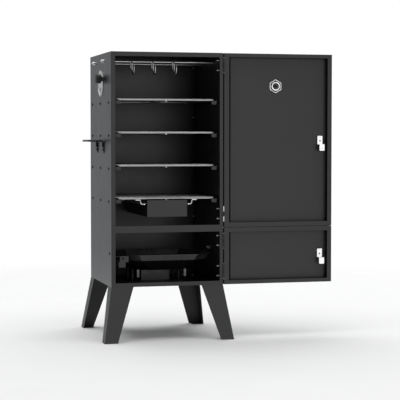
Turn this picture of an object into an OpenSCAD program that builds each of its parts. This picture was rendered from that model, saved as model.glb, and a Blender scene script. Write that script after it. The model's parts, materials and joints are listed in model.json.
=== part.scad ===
// Upright smoker cabinet on splayed legs: folded sheet-steel body with an upper and a lower
// door, four wire racks, hanging rods with meat hooks, a pellet box, a fire pan and two
// swing-away dampers.
// The origin is at floor level in the middle of the four feet. +Z is up, -Y is the front,
// +X is the side the doors are hinged on. The doors are drawn fully open. Lengths are in mm.

/* [Cabinet] */
// Width of the cabinet body
body_w = 462; // [380:1:600]
// Depth of the cabinet body
body_d = 452; // [380:1:600]
// Height of the cabinet body, without legs
body_h = 940; // [800:5:1200]
// Thickness of the body sheet
sheet_t = 1.5; // [1:0.1:3]
// Width of the stile folded in on the latch side of the opening
stile_w = 17; // [12:0.5:30]
// Width of the stile folded in on the hinge side of the opening
hinge_stile_w = 13.5; // [8:0.5:30]
// Height of the rail folded down at the top of the opening
top_rail_h = 17.5; // [12:0.5:30]
// Height of the rail folded up at the bottom of the opening
bottom_rail_h = 16; // [12:0.5:30]
// Height of the rail between the two doors
mid_rail_h = 27.5; // [20:0.5:50]
// Height of the underside of the middle rail above the cabinet floor
mid_rail_z = 217; // [180:1:300]

/* [Legs] */
// Height of the legs
leg_h = 220; // [120:5:300]
// Sideways splay of each leg
splay_x = 36; // [0:1:60]
// Forward and backward splay of each leg
splay_y = 42; // [0:1:60]
// Thickness of the leg sheet
leg_t = 2; // [1.5:0.1:4]
// Width of a leg's front face at the top
leg_front_top = 90; // [60:1:120]
// Width of a leg's front face at the foot
leg_front_foot = 54; // [30:1:90]
// Width of a leg's side face at the top
leg_side_top = 72; // [50:1:120]
// Width of a leg's side face at the foot
leg_side_foot = 52; // [30:1:90]
// Distance of the foot hole from the foot's outer edges
foot_hole_inset = 26; // [15:1:40]
// Radius of the hole in each foot
foot_hole_r = 4.5; // [3:0.5:7]

/* [Doors] */
// Depth of a door from its inner face to its outer skin
door_depth = 28; // [18:1:50]
// Thickness of the door sheet
door_t = 1.2; // [0.8:0.1:2.5]
// Gap between the two doors
door_gap = 1.6; // [1:0.1:6]
// Height of that gap above the underside of the middle rail
door_split = 16.5; // [8:0.5:25]
// Width of the flange folded in along the hinge edge
hinge_flange_w = 20.7; // [12:0.1:30]
// Width of the flange folded in along the free edge
free_flange_w = 18.4; // [12:0.1:30]
// Width of the flanges folded in at the outer ends of the doors
end_flange_w = 15.4; // [10:0.1:30]
// Width of the flanges folded in where the doors meet
meeting_flange_w = 18.5; // [10:0.1:30]
// Distance of the latch shaft from the free edge
latch_inset = 44; // [40:1:60]
// Height of the upper latch above the floor
upper_latch_z = 805; // [600:1:1000]
// Height of the lower latch above the floor
lower_latch_z = 337; // [280:1:400]
// Height of the thermometer above the floor
thermometer_z = 1028.4; // [900:1:1100]
// Sideways position of the thermometer from the hinge edge
thermometer_x = 225.6; // [150:1:300]

/* [Hinges] */
// Clearance between the cabinet side and the open door
hinge_gap = 5.4; // [4:0.1:8]
// Thickness of a hinge leaf
leaf_t = 1.8; // [1:0.1:2.5]
// Height of a hinge
leaf_h = 60; // [40:1:90]
// Radius of a hinge knuckle
knuckle_r = 2.7; // [2.2:0.1:4]
// Radius of a hinge pin
hinge_pin_r = 1.5; // [1:0.1:2]
// Distance of the outer hinges from the top of the upper door
upper_hinge_inset = 49.5; // [40:0.5:100]
// Distance of the hinges from the edge where the doors meet
meeting_hinge_inset = 54; // [40:0.5:100]

/* [Racks] */
// Number of racks
rack_count = 4; // [2:1:6]
// Height of the lowest rack above the floor
rack_z = 572.5; // [500:1:800]
// Spacing of the racks
rack_pitch = 132.3; // [80:0.1:200]
// Width of a rack
rack_w = 404; // [340:1:420]
// Depth of a rack
rack_d = 406; // [340:1:420]
// Radius of a rack's frame wire
frame_wire_r = 3; // [2:0.1:4]
// Radius of a rack's grid wire
grid_wire_r = 1.5; // [1:0.1:3]
// Spacing of the grid wires
grid_pitch = 13; // [10:0.5:25]
// Width of the ledge a rack slides on
ledge_w = 42; // [20:1:45]
// Height of a rack rail
rail_h = 20; // [14:1:30]
// Length of a rack rail
rail_len = 414; // [300:1:430]
// Spacing of the bolts along a rack rail
rail_bolt_pitch = 176; // [100:1:190]

/* [Hanging rods] */
// Radius of a hanging rod
rod_r = 3; // [2.5:0.1:6]
// Height of the hanging rods above the floor
rod_z = 1128; // [1050:1:1150]
// Position of the front rod, from the middle of the cabinet
front_rod_y = -70; // [-180:1:0]
// Position of the rear rod, from the middle of the cabinet
rear_rod_y = 123; // [0:1:180]
// Spacing of the meat hooks
hook_pitch = 88.5; // [40:0.5:120]
// Radius of the meat hook wire
hook_wire_r = 2.3; // [1.5:0.1:4]
// Radius of the loop a meat hook hangs by
hook_loop_r = 13; // [8:0.5:20]
// Radius of a meat hook's throat
hook_throat_r = 19; // [10:0.5:25]

/* [Pellet box and fire pan] */
// Width of the pellet box
box_w = 164; // [120:1:220]
// Length of the pellet box
box_len = 405; // [300:1:420]
// Height of the pellet box front
box_front_h = 67; // [40:1:90]
// Height of the underside of the pellet box above the floor
box_z = 499.5; // [480:1:520]
// Width of the fire pan at its rim
pan_w = 368; // [300:1:390]
// Size of the fire pan's rim from front to back
pan_d = 310; // [260:1:380]
// Length of the straight edge of the rim between the cut corners
pan_edge = 239; // [150:1:260]
// Height of the underside of the fire pan above the floor
pan_z = 278; // [250:1:300]
// Height of the fire pan
pan_h = 66; // [40:1:90]
// Height of the shoulder between the two slopes of the pan's wall
pan_shoulder_h = 43; // [20:1:60]

/* [Dampers] */
// Radius of a damper cover
cover_r = 54; // [40:1:70]
// Radius of a damper knob
knob_r = 18.5; // [12:0.5:25]
// Distance of a damper knob's end face from the cabinet side
knob_reach = 30; // [18:1:40]
// Height of the upper damper cover above the floor
upper_vent_z = 1040; // [950:1:1100]
// Height of the lower damper cover above the floor
lower_vent_z = 340; // [290:1:380]

/* [Handles] */
// Distance between the legs of a side handle
handle_w = 137; // [90:1:200]
// Distance of the side handle bar from the cabinet
handle_reach = 62; // [35:1:90]
// Height of the side handle bar above the floor
handle_z = 805; // [600:1:1000]
// Radius of the side handle rod
handle_r = 4.2; // [3:0.1:8]

/* [Hidden] */
$fn = 48;
wire_fn = 24;
nut_fn = 6;
thin = 0.01;
half_w = body_w / 2;
half_d = body_d / 2;
floor_z = leg_h;
top_z = leg_h + body_h;
front_y = -half_d;
inner_x = half_w - sheet_t;
opening_x = half_w - stile_w;
hinge_opening_x = half_w - hinge_stile_w;
rear_return = 15;
mid_z = floor_z + mid_rail_z;

// doors, drawn open
hinge_x = half_w + hinge_gap / 2;
hinge_y = front_y - 1;
door_x = half_w + hinge_gap;
door_w = body_w - 0.4;
skin_y = front_y + door_depth;
free_x = door_x + door_w;
meet_z = mid_z + door_split;
upper_door_z = meet_z + door_gap / 2;
upper_door_h = top_z - 0.6 - upper_door_z;
lower_door_z = floor_z + 0.8;
lower_door_h = meet_z - door_gap / 2 - lower_door_z;
latch_x = free_x - latch_inset;
gauge_x = door_x + thermometer_x;

// hinges
upper_hinges = [top_z - upper_hinge_inset, upper_door_z + meeting_hinge_inset];
lower_hinges = [lower_door_z + lower_door_h - meeting_hinge_inset, lower_door_z + meeting_hinge_inset];
cabinet_leaf_w = 37;
door_leaf_w = 24;
leaf_clear = 3;
knuckle_h = leaf_h / 3;
knuckle_gap = 0.2;
hinge_bolt_pitch = 20;
hinge_bolt_r = 3;
hinge_bolt_y = front_y + 24;
hinge_bolt_tip = 20;
hinge_screw_pitch = 22;
hinge_screw_r = 2;
hinge_screw_y = front_y + 14;
head_t = 1.4;

// racks and rails
rail_t = 1.5;
rail_y = -rail_len / 2 - 3;
rail_tab_w = 20.5;
rail_tab_h = 14;
rail_bolt_y = 2;
rail_bolt_drop = 8.5;
bolt_r = 3;
bolt_play = 0.1;
rack_y = -rack_d / 2 - 1;
rack_corner = 5;
fuse = 0.5;

// vents and dampers
upper_vent_y = -13;
lower_vent_y = 38;
pivot_dy = -45;
pivot_dz = 17;
vent_hole_r = 9;
vent_ring_r = 27;
cover_t = 1.5;
cover_gap = 0.3;
stud_r = 4;
stud_play = 0.05;
cover_rim_w = 5;
cover_rim_t = 0.8;
cover_ring_r = 13;
cover_ring_w = 3;
cover_ring_dz = -24;

// rack box and its runners
box_y = -218;
box_t = 1.2;
box_rim_z = box_z + 53;
box_rim_x = 98;
runner_x = 91;
runner_r = 2.5;
hanger_x = 106;
hanger_tail_x = 127;
hanger_top_bend = 6;
hanger_bend = 8;

// fire pan and its stand
pan_x = 10;
pan_front_y = -200;
pan_y = pan_front_y + pan_d / 2;
pan_t = 1.5;
pan_lip_w = 4;
pan_cut_d = 55;
pan_shoulder_in = 10;
pan_floor_in = 60;
stand_rail_x = 98.5;
stand_rail_w = 9;
stand_rail_t = 4;
stand_tab_h = 30;
stand_tab_t = 1.5;
stand_rail_z = pan_z - stand_rail_t;
stand_y = -118;
stand_len = 234;
post_r = 7;
post_rows = [-4, 93];
base_x = 115;
base_y = -30;
base_d = 140;
base_t = 2;
ash_box_w = 120;
ash_box_d = 100;
ash_box_h = 42;
ash_box_t = 1.2;

// wall bracket
bracket_x = -192;
bracket_y = front_y + 20;
bracket_z = 342.5;

// latches
latch_shaft_r = 5;
latch_pin_r = 3;
cam_half_w = 10.8;
cam_up = 20;
cam_bend = 15;
cam_reach = 41;
cam_t = 2;
cam_y = front_y + 20.5;
cam_front_y = front_y - 4;

// side handles and rods
rod_overhang = 13;
handle_mid_y = -6.5;
handle_bolt_drop = 36;
handle_foot_t = 3;
handle_foot_w = 15;
handle_foot_h = 26;
handle_drop = 49;
handle_bend_r = 12;

// bolts in the top of a front left leg, as distances from the cabinet's corner
leg_bolt_offsets = [[66, 24], [24, 48]];

// thermometer
gauge_shank_r = 8;
gauge_shank_len = 13.2;
gauge_r = 37;
gauge_depth = 15;
gauge_bezel = 3;
gauge_wall = 2.5;
dial_y = skin_y + 8;
ring_r = 28;
ring_t = 2;
ring_web_t = 0.8;
ring_rim_w = 2.2;
collar_r = 17.5;
collar_bore_r = 13.6;
collar_h = 5;

// meat hooks
hook_mid_x = -26;

steel = [0.17, 0.17, 0.18];
bright = [0.8, 0.8, 0.82];
black = [0.05, 0.05, 0.05];

// A cylinder along X, starting at x and running by len
module x_cylinder(x, y, z, r, len, fn = 48) {
    translate([x, y, z])
        rotate([0, 90, 0])
            cylinder(r = r, h = len, $fn = fn);
}

// A cylinder along Y, starting at y and running by len
module y_cylinder(x, y, z, r, len, fn = 48) {
    translate([x, y + len, z])
        rotate([90, 0, 0])
            cylinder(r = r, h = len, $fn = fn);
}

// A tube along X, starting at x and running by len
module x_tube(x, y, z, r_in, r_out, len, fn = 48) {
    difference() {
        x_cylinder(x, y, z, r_out, len, fn);
        x_cylinder(x - 1, y, z, r_in, len + 2, fn);
    }
}

// Copies of the children for the left and the right side
module both_sides() {
    children();
    mirror([1, 0, 0])
        children();
}

// ---- cabinet body ----

// Positions of the bolts of every rack rail on a side panel, as y and z
function rail_bolt_points() = [
    for (i = [0 : rack_count - 1])
        for (k = [-1 : 1])
            [rail_bolt_y + k * rail_bolt_pitch, rack_z + i * rack_pitch - frame_wire_r - rail_bolt_drop]
];

// Heights of the screws of the back panel
function back_screw_heights() = [for (k = [0 : 4]) floor_z + 40 + k * (body_h - 80) / 4];

// Positions of the handle bolts on a side panel, as y and z
function handle_points() = [
    for (s = [-1, 1]) [handle_mid_y + s * handle_w / 2, handle_z - handle_bolt_drop]
];

// A hole through a left side panel
module side_hole(y, z, r) {
    x_cylinder(-half_w - 1, y, z, r, sheet_t + 2);
}

// The holes of a round vent with the hole for the damper's stud
module vent_holes(y, z) {
    side_hole(y, z, vent_hole_r);
    for (a = [0 : 60 : 300])
        side_hole(y + vent_ring_r * cos(a), z + vent_ring_r * sin(a), vent_hole_r);
    side_hole(y + pivot_dy, z + pivot_dz, stud_r + stud_play);
}

// A left side panel with its front fold and the holes both sides have
module side_panel(fold_w) {
    difference() {
        union() {
            translate([-half_w, front_y, floor_z])
                cube([sheet_t, body_d, body_h]);
            translate([-half_w, front_y, floor_z + bottom_rail_h])
                cube([fold_w, sheet_t, body_h - bottom_rail_h - top_rail_h]);
            translate([-half_w, half_d - 2 * sheet_t, floor_z + sheet_t])
                cube([rear_return, sheet_t, body_h - 2 * sheet_t]);
        }
        for (p = rail_bolt_points())
            side_hole(p[0], p[1], bolt_r + bolt_play);
        for (p = handle_points())
            side_hole(p[0], p[1], bolt_r + bolt_play);
        for (y = [front_rod_y, rear_rod_y])
            side_hole(y, rod_z, rod_r + bolt_play);
        for (z = back_screw_heights())
            y_cylinder(-half_w + rear_return / 2 + 1, half_d - 6, z, 2, 8);
    }
}

module left_panel() {
    color(steel)
        difference() {
            side_panel(stile_w);
            vent_holes(upper_vent_y, upper_vent_z);
            side_hole(bracket_y + 16, bracket_z + 11, bolt_r + bolt_play);
        }
}

module right_panel() {
    color(steel)
        mirror([1, 0, 0])
            difference() {
                side_panel(hinge_stile_w);
                vent_holes(lower_vent_y, lower_vent_z);
                for (h = concat(upper_hinges, lower_hinges))
                    for (s = [-1, 1])
                        side_hole(hinge_bolt_y, h + s * hinge_bolt_pitch, hinge_bolt_r + bolt_play);
            }
}

module back_panel() {
    color(steel)
        difference() {
            translate([-inner_x, half_d - sheet_t, floor_z])
                cube([2 * inner_x, sheet_t, body_h]);
            both_sides()
                for (z = back_screw_heights())
                    y_cylinder(-half_w + rear_return / 2 + 1, half_d - 6, z, 2, 8);
        }
}

module back_screws() {
    color(bright)
        both_sides()
            for (z = back_screw_heights()) {
                y_cylinder(-half_w + rear_return / 2 + 1, half_d, z, 4.2, 2);
                y_cylinder(-half_w + rear_return / 2 + 1, half_d - 7, z, 1.9, 7.5);
            }
}

module top_panel() {
    color(steel) {
        translate([-inner_x, front_y, top_z - sheet_t])
            cube([2 * inner_x, body_d - sheet_t, sheet_t]);
        translate([-inner_x, front_y, top_z - top_rail_h])
            cube([2 * inner_x, sheet_t, top_rail_h]);
    }
}

module floor_panel() {
    color(steel)
        difference() {
            union() {
                translate([-inner_x, front_y, floor_z])
                    cube([2 * inner_x, body_d - sheet_t, sheet_t]);
                translate([-inner_x, front_y, floor_z])
                    cube([2 * inner_x, sheet_t, bottom_rail_h]);
            }
            for (p = leg_bolt_points())
                translate([p[0], p[1], floor_z - 1])
                    cylinder(r = bolt_r + bolt_play, h = sheet_t + 2);
        }
}

module mid_rail() {
    flange_d = 16;
    tab = 14;
    rail_w = opening_x + hinge_opening_x;
    color(steel) {
        translate([-opening_x, front_y, mid_z])
            cube([rail_w, sheet_t, mid_rail_h]);
        for (z = [mid_z, mid_z + mid_rail_h - sheet_t])
            translate([-opening_x, front_y, z])
                cube([rail_w, flange_d, sheet_t]);
        both_sides()
            translate([-inner_x, front_y + sheet_t, mid_z])
                cube([inner_x - opening_x + tab, sheet_t, mid_rail_h]);
    }
}

// ---- legs ----

function leg_bolt_points() = [
    for (sx = [-1, 1])
        for (sy = [-1, 1])
            for (o = leg_bolt_offsets)
                [sx * (half_w - o[0]), sy * (half_d - o[1])]
];

// The front left leg, folded from one sheet
module leg_form() {
    foot_x = -half_w - splay_x;
    foot_y = front_y - splay_y;
    difference() {
        union() {
            hull() {
                translate([-half_w, front_y, floor_z - thin])
                    cube([leg_front_top, leg_t, thin]);
                translate([foot_x, foot_y, 0])
                    cube([leg_front_foot, leg_t, thin]);
            }
            hull() {
                translate([-half_w, front_y, floor_z - thin])
                    cube([leg_t, leg_side_top, thin]);
                translate([foot_x, foot_y, 0])
                    cube([leg_t, leg_side_foot, thin]);
            }
            translate([-half_w, front_y, floor_z - leg_t])
                cube([leg_front_top, leg_side_top, leg_t]);
            translate([foot_x, foot_y, 0])
                cube([leg_front_foot - 6, leg_side_foot - 4, leg_t]);
        }
        translate([foot_x + foot_hole_inset, foot_y + foot_hole_inset, -1])
            cylinder(r = foot_hole_r, h = leg_t + 2);
        for (o = leg_bolt_offsets)
            translate([-half_w + o[0], front_y + o[1], floor_z - leg_t - 1])
                cylinder(r = bolt_r + bolt_play, h = leg_t + 2);
    }
}

module leg_front_left() {
    color(steel)
        leg_form();
}

module leg_front_right() {
    color(steel)
        mirror([1, 0, 0])
            leg_form();
}

module leg_rear_left() {
    color(steel)
        mirror([0, 1, 0])
            leg_form();
}

module leg_rear_right() {
    color(steel)
        mirror([1, 0, 0])
            mirror([0, 1, 0])
                leg_form();
}

module leg_bolts() {
    nut_t = 4;
    color(bright)
        for (p = leg_bolt_points())
            translate([p[0], p[1], floor_z]) {
                translate([0, 0, sheet_t])
                    cylinder(r = 5.5, h = 3);
                translate([0, 0, -leg_t - nut_t - 2])
                    cylinder(r = bolt_r, h = leg_t + nut_t + 2 + sheet_t + 1);
                translate([0, 0, -leg_t - nut_t])
                    cylinder(r = 5.8, h = nut_t, $fn = nut_fn);
            }
}

// ---- rack rails, rods and handles ----

// The left rails: a wall strip, a ledge and a tab folded down at the front of the ledge
module rack_rails_left() {
    color(steel)
        difference() {
            for (i = [0 : rack_count - 1])
                translate([-inner_x, rail_y, rack_z + i * rack_pitch - frame_wire_r]) {
                    translate([0, 0, -rail_h])
                        cube([rail_t, rail_len, rail_h]);
                    translate([0, 0, -rail_t])
                        cube([ledge_w, rail_len, rail_t]);
                    translate([ledge_w - rail_tab_w, 0, -rail_tab_h])
                        cube([rail_tab_w, rail_t, rail_tab_h]);
                }
            for (p = rail_bolt_points())
                x_cylinder(-inner_x - 1, p[0], p[1], bolt_r + bolt_play, rail_t + 2);
        }
}

module rack_rails_right() {
    mirror([1, 0, 0])
        rack_rails_left();
}

// A domed bolt through a left side panel, with its nut inside
module side_bolt(y, z, grip) {
    x_cylinder(-half_w - 1.2, y, z, 5.4, 1.2);
    x_cylinder(-half_w - 2.6, y, z, 4, 1.5);
    x_cylinder(-half_w - 0.5, y, z, bolt_r, grip + 6.5);
    x_cylinder(-half_w + grip, y, z, 5.6, 4, nut_fn);
}

module rail_bolts() {
    color(black) {
        both_sides()
            for (p = rail_bolt_points())
                side_bolt(p[0], p[1], sheet_t + rail_t);
        side_bolt(bracket_y + 16, bracket_z + 11, sheet_t + rail_t);
    }
}

module hanging_rods() {
    color(bright)
        for (y = [front_rod_y, rear_rod_y])
            x_cylinder(-half_w - rod_overhang, y, rod_z, rod_r, body_w + 2 * rod_overhang);
}

module rod_nuts() {
    color(bright)
        both_sides()
            for (y = [front_rod_y, rear_rod_y])
                difference() {
                    union() {
                        x_cylinder(-half_w - 1.2, y, rod_z, 8, 1.2);
                        x_cylinder(-half_w - 8.2, y, rod_z, 6.8, 7.2, nut_fn);
                    }
                    x_cylinder(-half_w - 10, y, rod_z, rod_r, 12);
                }
}

// One bent end of a side handle: flattened foot, leg up the panel and bend outwards
module handle_end(y, turn) {
    leg_x = -half_w - handle_r;
    foot_z = handle_z - handle_drop;
    leg_z = foot_z + handle_foot_h - 4;
    difference() {
        union() {
            translate([-half_w - handle_foot_t, y - handle_foot_w / 2, foot_z])
                cube([handle_foot_t, handle_foot_w, handle_foot_h]);
            translate([leg_x, y, leg_z])
                cylinder(r = handle_r, h = handle_z - handle_bend_r - leg_z);
            translate([leg_x - handle_bend_r, y, handle_z - handle_bend_r])
                rotate([90, 0, 0])
                    handle_bend();
            x_cylinder(-half_w - handle_reach + handle_bend_r, y, handle_z, handle_r,
                handle_reach - handle_r - 2 * handle_bend_r);
            translate([-half_w - handle_reach + handle_bend_r, y + turn * handle_bend_r, handle_z])
                rotate([0, 0, turn > 0 ? 180 : 90])
                    handle_bend();
        }
        side_hole(y, handle_z - handle_bolt_drop, bolt_r + bolt_play);
        x_cylinder(-half_w - 8, y, handle_z - handle_bolt_drop, bolt_r + bolt_play, 9);
    }
}

// A quarter bend of handle rod
module handle_bend() {
    rotate_extrude(angle = 90)
        translate([handle_bend_r, 0])
            circle(r = handle_r);
}

module side_handles() {
    color(black)
        both_sides() {
            handle_end(handle_mid_y - handle_w / 2, 1);
            handle_end(handle_mid_y + handle_w / 2, -1);
            y_cylinder(-half_w - handle_reach, handle_mid_y - handle_w / 2 + handle_bend_r, handle_z,
                handle_r, handle_w - 2 * handle_bend_r);
        }
}

module handle_bolts() {
    head_h = 3;
    nut_h = 4;
    color(black)
        both_sides()
            for (p = handle_points()) {
                x_cylinder(-half_w - handle_foot_t - head_h, p[0], p[1], 5.2, head_h);
                x_cylinder(-half_w - handle_foot_t - 1, p[0], p[1], bolt_r, handle_foot_t + sheet_t + 8);
                x_cylinder(-half_w + sheet_t, p[0], p[1], 5.6, nut_h, nut_fn);
            }
}

// ---- hinges ----

// The part of a cabinet leaf or door leaf that wraps the pin, between two heights
module knuckle(z0, z1, bore_r, bridge_x) {
    difference() {
        union() {
            translate([hinge_x, hinge_y, z0])
                cylinder(r = knuckle_r, h = z1 - z0);
            translate([bridge_x, hinge_y, z0])
                cube([leaf_t, leaf_clear + 1.5, z1 - z0]);
        }
        translate([hinge_x, hinge_y, z0 - 1])
            cylinder(r = bore_r, h = z1 - z0 + 2);
    }
}

module cabinet_hinge_leaves() {
    color(steel)
        for (h = concat(upper_hinges, lower_hinges)) {
            difference() {
                translate([half_w, hinge_y + leaf_clear, h - leaf_h / 2])
                    cube([leaf_t, cabinet_leaf_w - leaf_clear, leaf_h]);
                for (s = [-1, 1])
                    x_cylinder(half_w - 1, hinge_bolt_y, h + s * hinge_bolt_pitch,
                        hinge_bolt_r + bolt_play, leaf_t + 2);
            }
            knuckle(h - leaf_h / 2, h - knuckle_h / 2, hinge_pin_r, half_w);
            knuckle(h + knuckle_h / 2, h + leaf_h / 2, hinge_pin_r, half_w);
        }
}

module hinge_pins() {
    color(bright)
        for (h = concat(upper_hinges, lower_hinges)) {
            translate([hinge_x, hinge_y, h - leaf_h / 2 - 1])
                cylinder(r = hinge_pin_r, h = leaf_h + 2);
            for (z = [-leaf_h / 2 - 1, leaf_h / 2])
                translate([hinge_x, hinge_y, h + z])
                    cylinder(r = 2.3, h = 1);
        }
}

module hinge_bolts() {
    color(bright)
        for (h = concat(upper_hinges, lower_hinges))
            for (s = [-1, 1])
                translate([0, hinge_bolt_y, h + s * hinge_bolt_pitch]) {
                    x_cylinder(half_w + leaf_t, 0, 0, 5, head_t);
                    x_cylinder(half_w - hinge_bolt_tip, 0, 0, hinge_bolt_r,
                        hinge_bolt_tip + leaf_t + 0.5);
                    x_cylinder(inner_x - 5, 0, 0, 5.6, 5, nut_fn);
                }
}

// The door leaves of the hinges at the given heights
module door_leaves(heights) {
    x = door_x - leaf_t;
    for (h = heights) {
        difference() {
            translate([x, hinge_y + leaf_clear, h - leaf_h / 2])
                cube([leaf_t, door_leaf_w - leaf_clear, leaf_h]);
            for (s = [-1, 1])
                x_cylinder(x - 1, hinge_screw_y, h + s * hinge_screw_pitch,
                    hinge_screw_r + bolt_play, leaf_t + 2);
        }
        knuckle(h - knuckle_h / 2 + knuckle_gap, h + knuckle_h / 2 - knuckle_gap,
            hinge_pin_r + stud_play, x);
    }
}

module upper_hinge_leaves() {
    color(steel)
        door_leaves(upper_hinges);
}

module lower_hinge_leaves() {
    color(steel)
        door_leaves(lower_hinges);
}

module leaf_screws(heights) {
    for (h = heights)
        for (s = [-1, 1])
            translate([0, hinge_screw_y, h + s * hinge_screw_pitch]) {
                x_cylinder(door_x - leaf_t - head_t, 0, 0, 4, head_t);
                x_cylinder(door_x - leaf_t - 0.5, 0, 0, hinge_screw_r, leaf_t + door_t + 6);
                x_cylinder(door_x + door_t, 0, 0, 4, 3, nut_fn);
            }
}

module upper_hinge_screws() {
    color(bright)
        leaf_screws(upper_hinges);
}

module lower_hinge_screws() {
    color(bright)
        leaf_screws(lower_hinges);
}

// ---- doors ----

// A door folded from one sheet: skin, four walls and flanges turned in around the edge
module door_shell(z, h, low_flange, high_flange, heights, latch_z) {
    difference() {
        translate([door_x, front_y, z])
            cube([door_w, door_depth, h]);
        translate([door_x + door_t, front_y + door_t, z + door_t])
            cube([door_w - 2 * door_t, door_depth - 2 * door_t, h - 2 * door_t]);
        translate([door_x + hinge_flange_w, front_y - 1, z + low_flange])
            cube([door_w - hinge_flange_w - free_flange_w, door_t + 2, h - low_flange - high_flange]);
        y_cylinder(latch_x, skin_y - 3, latch_z, latch_shaft_r + stud_play, 6);
        for (q = heights)
            for (s = [-1, 1])
                x_cylinder(door_x - 1, hinge_screw_y, q + s * hinge_screw_pitch,
                    hinge_screw_r + bolt_play, door_t + 2);
    }
}

module upper_door() {
    color(steel)
        difference() {
            door_shell(upper_door_z, upper_door_h, meeting_flange_w, end_flange_w,
                upper_hinges, upper_latch_z);
            y_cylinder(gauge_x, skin_y - 3, thermometer_z, gauge_shank_r + bolt_play, 6);
        }
}

module lower_door() {
    color(steel)
        door_shell(lower_door_z, lower_door_h, end_flange_w, meeting_flange_w,
            lower_hinges, lower_latch_z);
}

// ---- thermometer, in the upper door ----

module thermometer_case() {
    rim_y = skin_y + gauge_depth - gauge_bezel;
    color(bright)
        difference() {
            union() {
                y_cylinder(gauge_x, skin_y, thermometer_z, gauge_r, gauge_depth, 64);
                y_cylinder(gauge_x, rim_y, thermometer_z, gauge_r + 2, gauge_bezel, 64);
                y_cylinder(gauge_x, skin_y - gauge_shank_len, thermometer_z, gauge_shank_r,
                    gauge_shank_len + 1);
            }
            y_cylinder(gauge_x, dial_y - 1, thermometer_z, gauge_r - gauge_wall, gauge_depth, 64);
            y_cylinder(gauge_x, skin_y - 20, thermometer_z, 3, 40);
        }
}

module thermometer_dial() {
    color([0.92, 0.92, 0.9])
        difference() {
            y_cylinder(gauge_x, dial_y - 1, thermometer_z, gauge_r - gauge_wall - 0.1, 1, 64);
            y_cylinder(gauge_x, dial_y - 2, thermometer_z, 1.6, 3);
        }
}

// The pointer turns on the axis of the dial
module thermometer_needle() {
    color([0.75, 0.1, 0.08])
        translate([gauge_x, dial_y + 0.6, thermometer_z])
            rotate([0, 130, 0]) {
                y_cylinder(0, 0, 0, 3.4, 1.2);
                y_cylinder(0, -2, 0, 1.5, 2.4);
                translate([-0.9, 0, -7])
                    cube([1.8, 0.8, 34]);
            }
}

module thermometer_glass() {
    color([0.8, 0.85, 0.88, 0.4])
        y_cylinder(gauge_x, skin_y + gauge_depth - gauge_bezel, thermometer_z, gauge_r - gauge_wall - 0.1,
            1.6, 64);
}

// A hexagonal prism along Y with corners up and down, starting at y and running by len
module y_hexagon(x, y, z, r, len) {
    translate([x, y + len, z])
        rotate([90, 30, 0])
            cylinder(r = r, h = len, $fn = nut_fn);
}

// The hexagonal ring inside the door: a thin web with a raised rim, and a collar around the nut
module thermometer_ring() {
    back_y = skin_y - door_t;
    color([0.6, 0.6, 0.61])
        difference() {
            union() {
                y_hexagon(gauge_x, back_y - ring_t, thermometer_z, ring_r, ring_t);
                y_cylinder(gauge_x, back_y - collar_h, thermometer_z, collar_r, collar_h - 0.4, 64);
            }
            difference() {
                y_hexagon(gauge_x, back_y - ring_t - 1, thermometer_z, ring_r - ring_rim_w,
                    ring_t + 1 - ring_web_t);
                y_cylinder(gauge_x, back_y - collar_h, thermometer_z, collar_r, collar_h, 64);
            }
            y_cylinder(gauge_x, back_y - collar_h - 1, thermometer_z, collar_bore_r,
                collar_h + 1 - ring_web_t, 64);
            y_cylinder(gauge_x, back_y - collar_h, thermometer_z, gauge_shank_r + bolt_play, collar_h + 2);
        }
}

// The probe with its shoulder against the shank, and the nut that holds the thermometer
module thermometer_stem() {
    back_y = skin_y - door_t;
    shank_end_y = skin_y - gauge_shank_len;
    nut_t = 6.8;
    color(black) {
        y_cylinder(gauge_x, shank_end_y - 1, thermometer_z, gauge_shank_r, 1);
        y_cylinder(gauge_x, skin_y - 32, thermometer_z, 2.9, 32 - gauge_shank_len);
        difference() {
            y_cylinder(gauge_x, back_y - ring_web_t - nut_t, thermometer_z, 13, nut_t, nut_fn);
            y_cylinder(gauge_x, back_y - 12, thermometer_z, gauge_shank_r + bolt_play, 14);
        }
    }
}

// ---- latches ----

// The cam on a latch shaft: a plate, a step towards the cabinet and the tongue
module latch_cam(z) {
    color(bright)
        translate([latch_x, 0, z])
            difference() {
                union() {
                    translate([-cam_half_w, cam_y, -cam_bend])
                        cube([2 * cam_half_w, cam_t, cam_up + cam_bend - 3]);
                    translate([-cam_half_w + 3, cam_y, -cam_bend])
                        cube([2 * cam_half_w - 6, cam_t, cam_up + cam_bend]);
                    for (s = [-1, 1])
                        y_cylinder(s * (cam_half_w - 3), cam_y, cam_up - 3, 3, cam_t);
                    translate([-cam_half_w, cam_front_y - cam_t, -cam_bend - cam_t])
                        cube([2 * cam_half_w, cam_y + 2 * cam_t - cam_front_y, cam_t]);
                    translate([-cam_half_w, cam_front_y - cam_t, 3 - cam_reach])
                        cube([2 * cam_half_w, cam_t, cam_reach - cam_bend - 3]);
                    translate([-cam_half_w + 3, cam_front_y - cam_t, -cam_reach])
                        cube([2 * cam_half_w - 6, cam_t, 10]);
                    for (s = [-1, 1])
                        y_cylinder(s * (cam_half_w - 3), cam_front_y - cam_t, 3 - cam_reach, 3, cam_t);
                }
                y_cylinder(0, cam_y - 2, 0, latch_pin_r + stud_play, cam_t + 4);
            }
}

// The grip outside the door with the shaft that carries the cam
module latch_handle(z) {
    color(black)
        translate([latch_x, 0, z]) {
            y_cylinder(0, cam_y + cam_t, 0, latch_shaft_r, skin_y + 8 - cam_y - cam_t);
            y_cylinder(0, cam_y - 1.5, 0, latch_pin_r, cam_t + 3);
            y_cylinder(0, skin_y + 3.2, 0, 9.5, 14);
            translate([-8, skin_y + 15, -38])
                cube([16, 11, 76]);
            for (s = [-1, 1])
                y_cylinder(0, skin_y + 15, s * 38, 8, 11);
        }
}

module latch_plate(z) {
    color(bright)
        difference() {
            y_cylinder(latch_x, skin_y, z, 24, 3);
            y_cylinder(latch_x, skin_y - 1, z, latch_shaft_r + bolt_play, 5);
        }
}

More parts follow.
